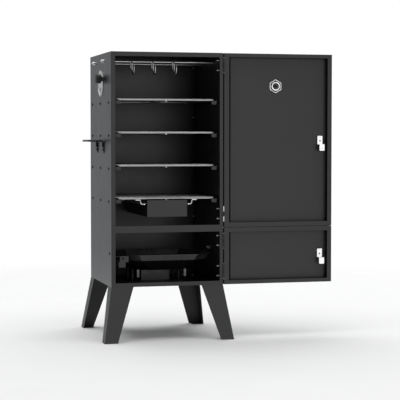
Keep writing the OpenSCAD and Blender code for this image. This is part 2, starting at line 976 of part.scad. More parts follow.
module upper_latch_plate() {
    latch_plate(upper_latch_z);
}

module upper_latch_handle() {
    latch_handle(upper_latch_z);
}

module upper_latch_cam() {
    latch_cam(upper_latch_z);
}

module lower_latch_plate() {
    latch_plate(lower_latch_z);
}

module lower_latch_handle() {
    latch_handle(lower_latch_z);
}

module lower_latch_cam() {
    latch_cam(lower_latch_z);
}

// ---- racks ----

// A quarter bend of frame wire about a vertical axis
module flat_bend(x, y, start, r) {
    translate([x, y, 0])
        rotate([0, 0, start])
            rotate_extrude(angle = 90, $fn = 48)
                translate([rack_corner, 0])
                    circle(r = r, $fn = wire_fn);
}

// A wire rack: bent frame, a stiffener under it from front to back and the grid across it
module rack_form() {
    stiffener_r = 2.5;
    side_x = rack_w / 2 - frame_wire_r;
    near_y = rack_y + frame_wire_r;
    far_y = rack_y + rack_d - frame_wire_r;
    mid_y = rack_y + rack_d / 2;
    side_len = rack_d - 2 * (frame_wire_r + rack_corner);
    rows = floor((far_y - mid_y - 2 * frame_wire_r) / grid_pitch);
    grid_z = frame_wire_r + grid_wire_r - fuse;
    both_sides() {
        y_cylinder(-side_x, near_y + rack_corner, 0, frame_wire_r, side_len, wire_fn);
        flat_bend(-side_x + rack_corner, near_y + rack_corner, 180, frame_wire_r);
        flat_bend(-side_x + rack_corner, far_y - rack_corner, 90, frame_wire_r);
    }
    for (y = [near_y, far_y])
        x_cylinder(-side_x + rack_corner, y, 0, frame_wire_r, 2 * (side_x - rack_corner), wire_fn);
    y_cylinder(0, near_y - 2, -frame_wire_r - stiffener_r + fuse, stiffener_r, far_y - near_y + 4, wire_fn);
    for (i = [-rows : rows])
        x_cylinder(-side_x, mid_y + i * grid_pitch, grid_z, grid_wire_r, 2 * side_x, wire_fn);
}

module rack_at(level) {
    color(bright)
        translate([0, 0, rack_z + level * rack_pitch])
            rack_form();
}

module rack_1() {
    rack_at(3);
}

module rack_2() {
    rack_at(2);
}

module rack_3() {
    rack_at(1);
}

module rack_4() {
    rack_at(0);
}

// ---- pellet box and its runners ----

// A quarter bend of runner wire in the XZ plane
module upright_bend(x, y, z, start, r) {
    translate([x, y, z])
        rotate([90, 0, 0])
            rotate([0, 0, start])
                rotate_extrude(angle = 90)
                    translate([r, 0])
                        circle(r = runner_r, $fn = wire_fn);
}

// A hanger of the left runner: in under the rack's frame, down, and in again under the box's rim
module runner_hanger(y) {
    top_z = rack_z - frame_wire_r - runner_r;
    z = box_rim_z - runner_r;
    tail_len = hanger_tail_x - hanger_x - hanger_top_bend;
    drop = top_z - z - hanger_top_bend - hanger_bend;
    x_cylinder(-hanger_tail_x, y, top_z, runner_r, tail_len, wire_fn);
    upright_bend(-hanger_x - hanger_top_bend, y, top_z - hanger_top_bend, 0, hanger_top_bend);
    translate([-hanger_x, y, z + hanger_bend])
        cylinder(r = runner_r, h = drop, $fn = wire_fn);
    upright_bend(-hanger_x + hanger_bend, y, z + hanger_bend, 180, hanger_bend);
    x_cylinder(-hanger_x + hanger_bend, y, z, runner_r, hanger_x - hanger_bend - runner_x, wire_fn);
}

module box_runners() {
    near_y = rack_y + frame_wire_r;
    far_y = rack_y + rack_d - frame_wire_r;
    runner_end = runner_r + 1.5;
    color(bright)
        both_sides() {
            y_cylinder(-runner_x, near_y - runner_end, box_rim_z - runner_r, runner_r,
                far_y - near_y + 2 * runner_end, wire_fn);
            for (y = [near_y, far_y])
                runner_hanger(y);
        }
}

module pellet_box() {
    half = box_w / 2;
    side_h = box_rim_z + box_t - box_z;
    color(steel) {
        difference() {
            translate([-half, box_y, box_z])
                cube([box_w, box_len, side_h]);
            translate([-half + box_t, box_y + box_t, box_z + box_t])
                cube([box_w - 2 * box_t, box_len - 2 * box_t, side_h]);
        }
        translate([-half, box_y, box_z])
            cube([box_w, box_t, box_front_h]);
        both_sides()
            translate([-box_rim_x, box_y + 4, box_rim_z])
                cube([box_rim_x - half + box_t, box_len - 4, box_t]);
    }
}

// ---- fire pan, stand and ash box ----

// A slice of the pan: an oblong with cut corners, smaller than the rim by inset all round
module pan_slice(inset, z) {
    x = pan_w / 2 - inset;
    y = pan_d / 2 - inset;
    edge_x = pan_edge / 2 - inset;
    edge_y = y - pan_cut_d;
    translate([0, 0, z])
        linear_extrude(height = thin)
            polygon([
                [-edge_x, -y],
                [edge_x, -y],
                [x, -edge_y],
                [x, edge_y],
                [edge_x, y],
                [-edge_x, y],
                [-x, edge_y],
                [-x, -edge_y]
            ]);
}

// The pan as a solid body, drawn in by shell all round
module pan_body(shell, floor_h, top_h) {
    hull() {
        pan_slice(pan_floor_in + shell, floor_h);
        pan_slice(pan_shoulder_in + shell, pan_shoulder_h);
    }
    hull() {
        pan_slice(pan_shoulder_in + shell, pan_shoulder_h);
        pan_slice(shell, top_h);
    }
}

module fire_pan() {
    color([0.3, 0.3, 0.31])
        translate([pan_x, pan_y, pan_z])
            difference() {
                union() {
                    pan_body(0, 0, pan_h);
                    hull() {
                        pan_slice(-pan_lip_w, pan_h - pan_t);
                        pan_slice(-pan_lip_w, pan_h);
                    }
                }
                pan_body(pan_t, pan_t, pan_h + 1);
            }
}

// The two strips the pan stands on, each with a tab folded down at the front
module stand_rails() {
    color(bright)
        both_sides() {
            translate([-stand_rail_x - stand_rail_w / 2, stand_y, stand_rail_z])
                cube([stand_rail_w, stand_len, stand_rail_t]);
            translate([-stand_rail_x - stand_rail_w / 2, stand_y, pan_z - stand_tab_h])
                cube([stand_rail_w, stand_tab_t, stand_tab_h]);
        }
}

// The posts under the strips and the plate they stand on
module stand_base() {
    base_z = floor_z + sheet_t;
    color(steel) {
        translate([-base_x, base_y, base_z])
            cube([2 * base_x, base_d, base_t]);
        both_sides()
            for (y = post_rows)
                translate([-stand_rail_x, y, base_z])
                    cylinder(r = post_r, h = stand_rail_z - base_z);
    }
}

// The open box for ash on the plate between the posts
module ash_box() {
    color([0.35, 0.34, 0.33])
        translate([-ash_box_w / 2, 0, floor_z + sheet_t + base_t])
            difference() {
                cube([ash_box_w, ash_box_d, ash_box_h]);
                translate([ash_box_t, ash_box_t, ash_box_t])
                    cube([ash_box_w - 2 * ash_box_t, ash_box_d - 2 * ash_box_t, ash_box_h]);
            }
}

module wall_bracket() {
    color(steel)
        difference() {
            union() {
                translate([-inner_x, bracket_y, bracket_z])
                    cube([rail_t, 24, 20]);
                translate([-inner_x, bracket_y, bracket_z - rail_t])
                    cube([inner_x - 157, 6, rail_t]);
                translate([-inner_x, bracket_y, bracket_z - rail_t])
                    cube([rail_t, 24, rail_t]);
                translate([bracket_x, bracket_y, bracket_z - 24])
                    cube([35, rail_t, 24]);
                translate([bracket_x - 5, bracket_y, bracket_z - 45])
                    cube([28, rail_t, 22]);
            }
            y_cylinder(bracket_x + 13, bracket_y - 1, bracket_z - 9, 3.5, 4);
            x_cylinder(-half_w, bracket_y + 16, bracket_z + 11, bolt_r + bolt_play, 5);
        }
}

// ---- meat hooks ----

// An arc of hook wire in the YZ plane
module hook_arc(y, z, r, start, sweep) {
    translate([0, y, z])
        rotate([90, 0, 90])
            rotate([0, 0, start])
                rotate_extrude(angle = sweep)
                    translate([r, 0])
                        circle(r = hook_wire_r, $fn = wire_fn);
}

// A straight vertical run of hook wire
module hook_run(y, z0, z1) {
    translate([0, y, z0])
        cylinder(r = hook_wire_r, h = z1 - z0, $fn = wire_fn);
}

// A meat hook on the front rod: loop over the rod, shank, throat and pointed prong
module hook_at(x) {
    loop_z = rod_z + rod_r + bolt_play + hook_wire_r - hook_loop_r;
    loop_end_z = rod_z - 26;
    throat_z = rod_z - 33;
    prong_z = rod_z - 22;
    prong_tip = 7;
    shank_y = front_rod_y - hook_loop_r;
    prong_y = shank_y - 2 * hook_throat_r;
    color(bright)
        translate([x, 0, 0]) {
            hook_arc(front_rod_y, loop_z, hook_loop_r, 0, 180);
            hook_run(front_rod_y + hook_loop_r, loop_end_z, loop_z);
            hook_run(shank_y, throat_z, loop_z);
            hook_arc(shank_y - hook_throat_r, throat_z, hook_throat_r, 180, 180);
            hook_run(prong_y, throat_z, prong_z);
            translate([0, prong_y, prong_z])
                cylinder(r1 = hook_wire_r, r2 = 0.6, h = prong_tip, $fn = wire_fn);
        }
}

module hook_1() {
    hook_at(hook_mid_x - hook_pitch);
}

module hook_2() {
    hook_at(hook_mid_x);
}

module hook_3() {
    hook_at(hook_mid_x + hook_pitch);
}

// ---- dampers ----

// A damper cover on a left side panel, with its stud and the nut inside
module damper_cover(y, z) {
    plate_x = -half_w - cover_gap - cover_t;
    stud_y = y + pivot_dy;
    stud_z = z + pivot_dz;
    x_cylinder(plate_x, y, z, cover_r, cover_t, 96);
    x_tube(plate_x - cover_rim_t, y, z, cover_r - cover_rim_w, cover_r, cover_rim_t + 0.4, 96);
    x_tube(plate_x - cover_rim_t, y, z + cover_ring_dz, cover_ring_r - cover_ring_w, cover_ring_r,
        cover_rim_t + 0.4, 64);
    x_cylinder(plate_x - 8, stud_y, stud_z, stud_r, cover_t + cover_gap + sheet_t + 17);
    x_cylinder(-inner_x + 0.3, stud_y, stud_z, 7.2, 5, nut_fn);
}

// A damper knob with its waist, standing on the cover
module damper_knob(y, z) {
    foot_x = -half_w - cover_gap - cover_t - cover_rim_t;
    knob_h = foot_x + half_w + knob_reach;
    waist_r = 10;
    difference() {
        translate([foot_x, y + pivot_dy, z + pivot_dz])
            rotate([0, -90, 0])
                rotate_extrude($fn = 64)
                    polygon([
                        [0, 0],
                        [waist_r, 0],
                        [waist_r, 4],
                        [knob_r - 2, 5.5],
                        [knob_r, 8],
                        [knob_r, knob_h - 2.5],
                        [knob_r - 2, knob_h],
                        [0, knob_h]
                    ]);
        x_cylinder(foot_x - 7.3, y + pivot_dy, z + pivot_dz, stud_r + stud_play, 9);
    }
}

module upper_damper_cover() {
    color(bright)
        damper_cover(upper_vent_y, upper_vent_z);
}

module upper_damper_knob() {
    color(black)
        damper_knob(upper_vent_y, upper_vent_z);
}

module lower_damper_cover() {
    color(bright)
        mirror([1, 0, 0])
            damper_cover(lower_vent_y, lower_vent_z);
}

module lower_damper_knob() {
    color(black)
        mirror([1, 0, 0])
            damper_knob(lower_vent_y, lower_vent_z);
}

left_panel();
right_panel();
back_panel();
top_panel();
floor_panel();
mid_rail();
back_screws();
leg_front_left();
leg_front_right();
leg_rear_left();
leg_rear_right();
leg_bolts();
rack_rails_left();
rack_rails_right();
rail_bolts();
hanging_rods();
rod_nuts();
side_handles();
handle_bolts();
cabinet_hinge_leaves();
hinge_pins();
hinge_bolts();
wall_bracket();
stand_rails();
stand_base();
ash_box();
upper_door();
upper_hinge_leaves();
upper_hinge_screws();
thermometer_case();
thermometer_dial();
thermometer_glass();
thermometer_ring();
thermometer_stem();
thermometer_needle();
upper_latch_plate();
upper_latch_handle();
upper_latch_cam();
lower_door();
lower_hinge_leaves();
lower_hinge_screws();
lower_latch_plate();
lower_latch_handle();
lower_latch_cam();
rack_1();
rack_2();
rack_3();
rack_4();
box_runners();
pellet_box();
fire_pan();
hook_1();
hook_2();
hook_3();
upper_damper_cover();
upper_damper_knob();
lower_damper_cover();
lower_damper_knob();
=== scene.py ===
"""Upright smoker cabinet: finishes, a dial scale, camera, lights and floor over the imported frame."""

import json
import math

import bmesh
import bpy
from mathutils import Matrix, Vector


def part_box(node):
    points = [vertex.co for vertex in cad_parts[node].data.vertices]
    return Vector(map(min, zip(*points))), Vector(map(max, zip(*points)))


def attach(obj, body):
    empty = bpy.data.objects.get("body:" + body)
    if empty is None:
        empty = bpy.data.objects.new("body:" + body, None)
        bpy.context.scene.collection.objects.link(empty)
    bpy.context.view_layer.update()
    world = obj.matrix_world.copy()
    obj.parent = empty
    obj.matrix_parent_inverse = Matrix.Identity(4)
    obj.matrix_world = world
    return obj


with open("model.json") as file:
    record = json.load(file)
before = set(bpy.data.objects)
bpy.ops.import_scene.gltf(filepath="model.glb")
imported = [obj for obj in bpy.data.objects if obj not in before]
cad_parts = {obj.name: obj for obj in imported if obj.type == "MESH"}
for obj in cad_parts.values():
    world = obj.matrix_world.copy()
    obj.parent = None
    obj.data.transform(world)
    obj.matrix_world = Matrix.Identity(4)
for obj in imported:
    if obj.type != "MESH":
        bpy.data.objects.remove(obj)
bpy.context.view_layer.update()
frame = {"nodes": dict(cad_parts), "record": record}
NODES = frame["nodes"]
SLOT_OF = {s["node"]: s["material_slot"] for s in frame["record"]["subparts"]}

# ---------------------------------------------------------------- node helpers


def new_material(name):
    """A fresh node material with its tree, shader and object coordinates."""
    m = bpy.data.materials.new(name)
    m.use_nodes = True
    t = m.node_tree
    bsdf = t.nodes["Principled BSDF"]
    coord = t.nodes.new("ShaderNodeTexCoord")
    return m, t, bsdf, coord.outputs["Object"]


def noise(t, coord, scale, detail=3.0, rough=0.55):
    """A noise value, in units of 1/scale metres."""
    n = t.nodes.new("ShaderNodeTexNoise")
    n.inputs["Scale"].default_value = scale
    n.inputs["Detail"].default_value = detail
    n.inputs["Roughness"].default_value = rough
    t.links.new(coord, n.inputs["Vector"])
    return n.outputs["Fac"]


def remap(t, value, a, b, c, d):
    """value from the range a..b to c..d, clamped."""
    n = t.nodes.new("ShaderNodeMapRange")
    for key, v in zip(("From Min", "From Max", "To Min", "To Max"), (a, b, c, d)):
        n.inputs[key].default_value = v
    t.links.new(value, n.inputs["Value"])
    return n.outputs["Result"]


def blend_colour(t, fac, low, high):
    """The colour low where fac is 0 and high where it is 1."""
    n = t.nodes.new("ShaderNodeMix")
    n.data_type = "RGBA"
    t.links.new(fac, n.inputs["Factor"])
    n.inputs["A"].default_value = (*low, 1)
    n.inputs["B"].default_value = (*high, 1)
    return n.outputs["Result"]


def bump(t, bsdf, value, strength, distance):
    """Surface relief from value, distance metres deep."""
    n = t.nodes.new("ShaderNodeBump")
    n.inputs["Strength"].default_value = strength
    n.inputs["Distance"].default_value = distance
    t.links.new(value, n.inputs["Height"])
    t.links.new(n.outputs["Normal"], bsdf.inputs["Normal"])


def shade(colour, k):
    """The colour made k times as bright."""
    return tuple(c * k for c in colour)


def coordinate(t, coord, axis):
    """One coordinate in metres along x, y or z."""
    n = t.nodes.new("ShaderNodeSeparateXYZ")
    t.links.new(coord, n.inputs["Vector"])
    return n.outputs[axis.upper()]


def arithmetic(t, operation, a, b):
    """a and b, each a socket or a number, combined by the named operation."""
    n = t.nodes.new("ShaderNodeMath")
    n.operation = operation
    for socket, v in zip(n.inputs, (a, b)):
        if isinstance(v, (int, float)):
            socket.default_value = v
        else:
            t.links.new(v, socket)
    return n.outputs["Value"]


def mix_sockets(t, fac, low, high):
    """The socket low where fac is 0 and the colour high where it is 1."""
    n = t.nodes.new("ShaderNodeMix")
    n.data_type = "RGBA"
    t.links.new(fac, n.inputs["Factor"])
    t.links.new(low, n.inputs["A"])
    n.inputs["B"].default_value = (*high, 1)
    return n.outputs["Result"]


# Samples of the ambient-occlusion test behind the painted shade in corners.
CREVICE_SHADE_SAMPLES = 4


def painted_crevice_shade(t, reach, floor, closed=0.45, clear=0.85):
    """Painted shade: 1 on open surfaces, down to floor in corners and crevices within reach metres, from
    an ambient-occlusion test.
    """
    n = t.nodes.new("ShaderNodeAmbientOcclusion")
    n.inputs["Distance"].default_value = reach
    n.samples = CREVICE_SHADE_SAMPLES
    return remap(t, n.outputs["AO"], closed, clear, floor, 1)


def tinted(t, colour, value):
    """The colour socket multiplied by value."""
    n = t.nodes.new("ShaderNodeMix")
    n.data_type = "RGBA"
    n.blend_type = "MULTIPLY"
    n.inputs["Factor"].default_value = 1
    t.links.new(colour, n.inputs["A"])
    t.links.new(value, n.inputs["B"])
    return n.outputs["Result"]


def shade_strip(t, coord, start, width, front, floor):
    """Painted shadow strip: floor where x lies within width metres past start and y lies behind front, 1
    elsewhere.
    """
    sharp, soft = 0.0005, 0.003
    x = coordinate(t, coord, "x")
    y = coordinate(t, coord, "y")
    along = arithmetic(t, "MULTIPLY", remap(t, x, start, start + sharp, 0, 1),
                       remap(t, x, start + width - soft, start + width, 1, 0))
    inside = arithmetic(t, "MULTIPLY", along, remap(t, y, front, front + sharp, 0, 1))
    return remap(t, inside, 0, 1, 1, floor)


def height_step(t, coord, height, blur, below, above):
    """below under the height and above over it, blending over blur metres just under it."""
    return remap(t, coordinate(t, coord, "z"), height - blur, height, below, above)


def axis_distance(t, coord, centre, axis):
    """Distance in metres from the line through centre along the x, y or z axis."""
    shift = t.nodes.new("ShaderNodeVectorMath")
    shift.operation = "SUBTRACT"
    shift.inputs[1].default_value = centre
    flat = t.nodes.new("ShaderNodeVectorMath")
    flat.operation = "MULTIPLY"
    flat.inputs[1].default_value = tuple(0 if a == axis else 1 for a in "xyz")
    length = t.nodes.new("ShaderNodeVectorMath")
    length.operation = "LENGTH"
    t.links.new(coord, shift.inputs[0])
    t.links.new(shift.outputs["Vector"], flat.inputs[0])
    t.links.new(flat.outputs["Vector"], length.inputs[0])
    return length.outputs["Value"]


def bands(t, distance, steps, base):
    """Greys by distance: each (outer radius in mm, grey) band, base beyond the last one."""
    ramp = t.nodes.new("ShaderNodeValToRGB")
    ramp.color_ramp.interpolation = "CONSTANT"
    reach = steps[-1][0] * 1.25 / 1000
    t.links.new(remap(t, distance, 0, reach, 0, 1), ramp.inputs["Fac"])
    inner = [0] + [r / 1000 / reach for r, grey in steps]
    greys = [grey for r, grey in steps] + [base]
    while len(ramp.color_ramp.elements) < len(greys):
        ramp.color_ramp.elements.new(1)
    for element, place, grey in zip(ramp.color_ramp.elements, inner, greys):
        element.position = place
        element.color = (grey, grey, grey, 1)
    return ramp.outputs["Color"]


# ---------------------------------------------------------------- materials

GREY = (0.014, 0.0142, 0.0148)
WORN_STEEL = (0.8, 0.8, 0.81)
PROUD_STEEL = (0.62, 0.62, 0.63)
# Painted shade in corners and crevices: reach in metres, darkest value and, for the doors, the occlusion
# range it spans.
CREVICE_SHADE = (0.02, 0.12)
DOOR_CREVICE_SHADE = (0.03, 0.1, 0.6, 0.74)
SMOOTH_PLATE = {"tone": 0.03, "relief": 0.000001, "spread": (-0.01, 0.02)}
EDGE_BLUR = 0.002
# Darkest value of the painted shade under the fire pan's shoulder.
LOW_SHADE = 0.2
RING_WEB = 0.0012
FLOOR_SOLID, FLOOR_CLEAR = 1.3, 3.6


def paint(name, colour, rough=0.42, specular=0.5, relief=0.00006, crevice_shade=CREVICE_SHADE, worn=None, fold=None):
    """Powder-coated steel with fine orange peel.

    crevice is openness's arguments for painted shade in corners and crevices, fold is strip's for a
    painted shadow strip along a fold, and worn is two heights between which the metal is rubbed bright.
    """
    m, t, bsdf, co = new_material(name)
    mottle = noise(t, co, 14, 4)
    peel = noise(t, co, 1300, 2)
    tone = blend_colour(t, remap(t, mottle, 0.3, 0.7, 0, 1), shade(colour, 0.97), shade(colour, 1.04))
    bsdf.inputs["Specular IOR Level"].default_value = specular
    # Painted shade: colour and specular are darkened in corners and crevices.
    if crevice_shade:
        unshaded = painted_crevice_shade(t, *crevice_shade)
        # Painted shadow along the hinge-side fold, on top of the corner shade.
        if fold:
            unshaded = arithmetic(t, "MULTIPLY", unshaded, shade_strip(t, co, *fold))
        tone = tinted(t, tone, unshaded)
        t.links.new(arithmetic(t, "MULTIPLY", unshaded, specular), bsdf.inputs["Specular IOR Level"])
    t.links.new(tone, bsdf.inputs["Base Color"])
    t.links.new(remap(t, mottle, 0.3, 0.7, rough - 0.012, rough + 0.015), bsdf.inputs["Roughness"])
    if worn:
        rubbed = arithmetic(t, "MULTIPLY", height_step(t, co, worn[0], EDGE_BLUR, 0, 1),
                            height_step(t, co, worn[1] + EDGE_BLUR, EDGE_BLUR, 1, 0))
        bare = arithmetic(t, "MULTIPLY", rubbed, remap(t, mottle, 0.3, 0.5, 0.6, 1))
        t.links.new(bare, bsdf.inputs["Metallic"])
        t.links.new(mix_sockets(t, rubbed, tone, WORN_STEEL), bsdf.inputs["Base Color"])
    bump(t, bsdf, peel, 0.35, relief)
    return m


def plated(name, colour, rough=0.3, tone=0.12, relief=0.00004, spread=(-0.06, 0.1)):
    """Zinc, nickel or chrome plate: dull patches whose roughness varies by spread, and a fine grain."""
    m, t, bsdf, co = new_material(name)
    patch = noise(t, co, 60, 3)
    grain = noise(t, co, 700, 2)
    t.links.new(blend_colour(t, remap(t, patch, 0.3, 0.7, 0, 1), shade(colour, 1 - tone), colour),
                bsdf.inputs["Base Color"])
    low, high = (rough + s for s in spread)
    t.links.new(remap(t, patch, 0.3, 0.7, low, high), bsdf.inputs["Roughness"])
    bsdf.inputs["Metallic"].default_value = 1
    bump(t, bsdf, grain, 0.3, relief)
    return m


def plastic(name, colour, rough=0.5):
    """Moulded plastic with a fine spark-eroded grain."""
    m, t, bsdf, co = new_material(name)
    wear = noise(t, co, 40, 3)
    grain = noise(t, co, 2200, 1)
    tone = blend_colour(t, remap(t, wear, 0.35, 0.7, 0, 1), colour, shade(colour, 1.4))
    t.links.new(tone, bsdf.inputs["Base Color"])
    t.links.new(remap(t, wear, 0.3, 0.7, rough, rough + 0.12), bsdf.inputs["Roughness"])
    bump(t, bsdf, grain, 0.4, 0.00005)
    return m


def enamel(name, colour, rough=0.28, shaded_below=None):
    """Heat-proof enamel, patchy with soot and, if asked, with painted shade below a height."""
    m, t, bsdf, co = new_material(name)
    soot = noise(t, co, 22, 5, 0.65)
    speck = noise(t, co, 500, 2)
    tone = blend_colour(t, remap(t, soot, 0.35, 0.7, 0, 1), shade(colour, 0.6), shade(colour, 1.15))
    if shaded_below:
        # Painted shade: colour and specular are darkened below the height.
        unshaded_above = height_step(t, co, shaded_below, EDGE_BLUR, LOW_SHADE, 1)
        tone = tinted(t, tone, unshaded_above)
        t.links.new(arithmetic(t, "MULTIPLY", unshaded_above, 0.5), bsdf.inputs["Specular IOR Level"])
    t.links.new(tone, bsdf.inputs["Base Color"])
    t.links.new(remap(t, soot, 0.3, 0.7, rough - 0.06, rough + 0.16), bsdf.inputs["Roughness"])
    bump(t, bsdf, speck, 0.3, 0.00006)
    return m


def glass(name):
    """Clear gauge glass with the faintest smear."""
    m, t, bsdf, co = new_material(name)
    smear = noise(t, co, 120, 3)
    t.links.new(remap(t, smear, 0.3, 0.7, 0.02, 0.09), bsdf.inputs["Roughness"])
    bsdf.inputs["Transmission Weight"].default_value = 1
    bsdf.inputs["IOR"].default_value = 1.45
    bsdf.inputs["Base Color"].default_value = (0.95, 0.97, 0.98, 1)
    bump(t, bsdf, smear, 0.05, 0.00002)
    return m


def ringed(name, centre, axis, steps, base, rough=0.3):
    """Turned or pressed steel whose finish changes in rings around centre."""
    m, t, bsdf, co = new_material(name)
    radius = axis_distance(t, co, centre, axis)
    tone = bands(t, radius, steps, base)
    t.links.new(tone, bsdf.inputs["Base Color"])
    t.links.new(remap(t, tone, 0.05, 0.3, 0, 1), bsdf.inputs["Metallic"])
    patch = noise(t, co, 90, 3)
    t.links.new(remap(t, patch, 0.3, 0.7, rough - 0.05, rough + 0.08), bsdf.inputs["Roughness"])
    grooves = noise(t, radius, 900, 2)
    bump(t, bsdf, grooves, 0.25, 0.00004)
    return m


def raised_steel(name, box):
    """Pressed steel, bright where it stands proud of the web and dark as the door on the web itself."""
    m, t, bsdf, co = new_material(name)
    web = box[1][1] - RING_WEB
    proud = remap(t, coordinate(t, co, "y"), web - 0.0004, web - 0.0002, 1, 0)
    t.links.new(blend_colour(t, proud, GREY, PROUD_STEEL), bsdf.inputs["Base Color"])
    t.links.new(proud, bsdf.inputs["Metallic"])
    patch = noise(t, co, 90, 3)
    t.links.new(remap(t, patch, 0.3, 0.7, 0.22, 0.36), bsdf.inputs["Roughness"])
    bump(t, bsdf, noise(t, co, 900, 2), 0.25, 0.00002)
    return m


def floor_material(name):
    """Pale studio floor with a very fine tooth, melting into the backdrop far from the object."""
    m, t, bsdf, co = new_material(name)
    clear = t.nodes.new("ShaderNodeBsdfTransparent")
    fade = t.nodes.new("ShaderNodeMixShader")
    out = t.nodes["Material Output"]
    far = axis_distance(t, co, (0, 0, 0), "z")
    t.links.new(remap(t, far, FLOOR_SOLID, FLOOR_CLEAR, 0, 1), fade.inputs["Fac"])
    t.links.new(bsdf.outputs["BSDF"], fade.inputs[1])
    t.links.new(clear.outputs["BSDF"], fade.inputs[2])
    t.links.new(fade.outputs["Shader"], out.inputs["Surface"])
    n = noise(t, co, 3, 2)
    t.links.new(blend_colour(t, n, (0.9, 0.9, 0.9), (0.93, 0.93, 0.93)), bsdf.inputs["Base Color"])
    t.links.new(remap(t, n, 0.3, 0.7, 0.75, 0.85), bsdf.inputs["Roughness"])
    bsdf.inputs["Specular IOR Level"].default_value = 0.2
    return m


MATERIALS = {
    "body_paint": paint("body_paint", shade(GREY, 1.05), rough=0.36, specular=0.38),
    "leg_paint": paint("leg_paint", shade(GREY, 0.93), rough=0.45, crevice_shade=None),
    "zinc": plated("zinc", (0.97, 0.97, 0.97), rough=0.36, tone=0.05),
    "chrome_wire": plated("chrome_wire", (0.72, 0.72, 0.73), rough=0.34, **SMOOTH_PLATE),
    "black_plastic": plastic("black_plastic", (0.006, 0.006, 0.0065)),
    "handle_black": paint("handle_black", (0.006, 0.006, 0.0065), rough=0.38, crevice_shade=None),
    "fire_steel": enamel("fire_steel", (0.005, 0.005, 0.0052)),
    "gauge_steel": plated("gauge_steel", (0.7, 0.7, 0.71), rough=0.26),
    "gauge_dark": plated("gauge_dark", (0.06, 0.06, 0.062), rough=0.4),
    "dial": paint("dial", (0.75, 0.75, 0.72), rough=0.5, relief=0.00001, crevice_shade=None),
    "needle": paint("needle", (0.45, 0.02, 0.012), rough=0.4, crevice_shade=None),
    "gauge_glass": glass("gauge_glass"),
    "dark_bolt": paint("dark_bolt", (0.004, 0.004, 0.0042), rough=0.5, crevice_shade=None),
    "dull_steel": plated("dull_steel", (0.13, 0.13, 0.133), rough=0.42),
}

# Where a node's own finish or its painted shade changes, in metres from an edge or the middle of its
# box.
DAMPER_RING_DROP = 0.024
HINGE_FLANGE = 0.0207
FOLD_SHADE_WIDTH = 0.0145
LIP_DEPTH = 0.004
PAN_SHOULDER_DROP = 0.023
WORN_FROM, WORN_TO = -0.004, 0.064
# How dark the painted shadow along the fold gets, and the greys of the ring pressed into a damper cover.
FOLD_SHADE = 0.05
DAMPER_RING = [(9.8, 0.09), (13.2, 0.5)]
DAMPER_GREY = 0.6


def centre_of(node):
    """The middle of a node's box."""
    lo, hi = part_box(node)
    return (Vector(lo) + Vector(hi)) / 2


def worn_hinge_heights():
    """The hinge at the foot of the upper door carries the most weight; its knuckles are worn bright."""
    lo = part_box("upper_hinge_leaves")[0]
    return lo[2] + WORN_FROM, lo[2] + WORN_TO


def door_paint():
    """The doors' paint, with its shadow gathered deep along the hinge side's fold."""
    left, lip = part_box("upper_door")[0][:2]
    fold = (left + HINGE_FLANGE, FOLD_SHADE_WIDTH, lip + LIP_DEPTH, FOLD_SHADE)
    return paint("hung_door_paint", shade(GREY, 1.1), 0.45, crevice_shade=DOOR_CREVICE_SHADE, fold=fold)


def pan_enamel():
    """The fire pan's enamel, with painted shade below its shoulder."""
    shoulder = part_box("fire_pan")[1][2] - PAN_SHOULDER_DROP
    return enamel("pan_enamel", (0.024, 0.024, 0.0245), shaded_below=shoulder)


def own_materials():
    """Nodes with a finish that follows their own shape."""
    doors = door_paint()
    found = {"upper_door": doors, "lower_door": doors, "fire_pan": pan_enamel()}
    for node in ("upper_damper_cover", "lower_damper_cover"):
        badge = centre_of(node) - Vector((0, 0, DAMPER_RING_DROP))
        found[node] = ringed(node, badge, "x", DAMPER_RING, DAMPER_GREY)
    rack_wire = plated("rack_wire", (0.44, 0.44, 0.45), rough=0.36, **SMOOTH_PLATE)
    found.update({f"rack_{n}": rack_wire for n in range(1, 5)})
    found["thermometer_ring"] = raised_steel("washer_steel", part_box("thermometer_ring"))
    worn = worn_hinge_heights()
    found["cabinet_hinge_leaves"] = paint("hinge_paint", GREY, rough=0.33, crevice_shade=None, worn=worn)
    return found


def dress_frame():
    """Every CAD node gets its slot's material, or its own one."""
    own = own_materials()
    for name, o in NODES.items():
        mat = own.get(name) or MATERIALS[SLOT_OF[name]]
        if not o.material_slots:
            o.data.materials.append(mat)
        for s in o.material_slots:
            s.material = mat


BEVEL_MM = {
    "left_panel": 0.5, "right_panel": 0.5, "back_panel": 0.4, "top_panel": 0.5, "floor_panel": 0.5,
    "mid_rail": 0.5, "upper_door": 0.45, "lower_door": 0.45, "pellet_box": 0.4, "ash_box": 0.3,
    "leg_front_left": 0.6, "leg_front_right": 0.6, "leg_rear_left": 0.6, "leg_rear_right": 0.6,
    "upper_latch_cam": 0.5, "lower_latch_cam": 0.5, "upper_latch_plate": 0.6, "lower_latch_plate": 0.6,
    "upper_latch_handle": 1.5, "lower_latch_handle": 1.5, "side_handles": 0.5, "stand_rails": 0.5,
    "thermometer_case": 0.8, "thermometer_ring": 0.4, "thermometer_stem": 0.3, "rod_nuts": 0.5,
    "rail_bolts": 0.4, "handle_bolts": 0.4, "hinge_bolts": 0.3, "leg_bolts": 0.4, "back_screws": 0.4,
    "rack_rails_left": 0.4, "rack_rails_right": 0.4, "upper_damper_cover": 0.3,
    "lower_damper_cover": 0.3, "cabinet_hinge_leaves": 0.3, "upper_hinge_leaves": 0.3,
    "lower_hinge_leaves": 0.3,
}


def soften_edges():
    """A small bevel on sharp edges, so that they catch the light."""
    for name, width_mm in BEVEL_MM.items():
        o = NODES[name]
        b = o.modifiers.new("edge", "BEVEL")
        b.width = width_mm / 1000
        b.segments = 2
        b.limit_method = "ANGLE"
        b.angle_limit = math.radians(40)
        b.harden_normals = False


# ---------------------------------------------------------------- built pieces

DIAL_SWEEP = 270
DIAL_MARKS = 28
LONG_MARK_EVERY = 3
MARK_PROUD = 0.0001
MARK_MARGIN = 0.002


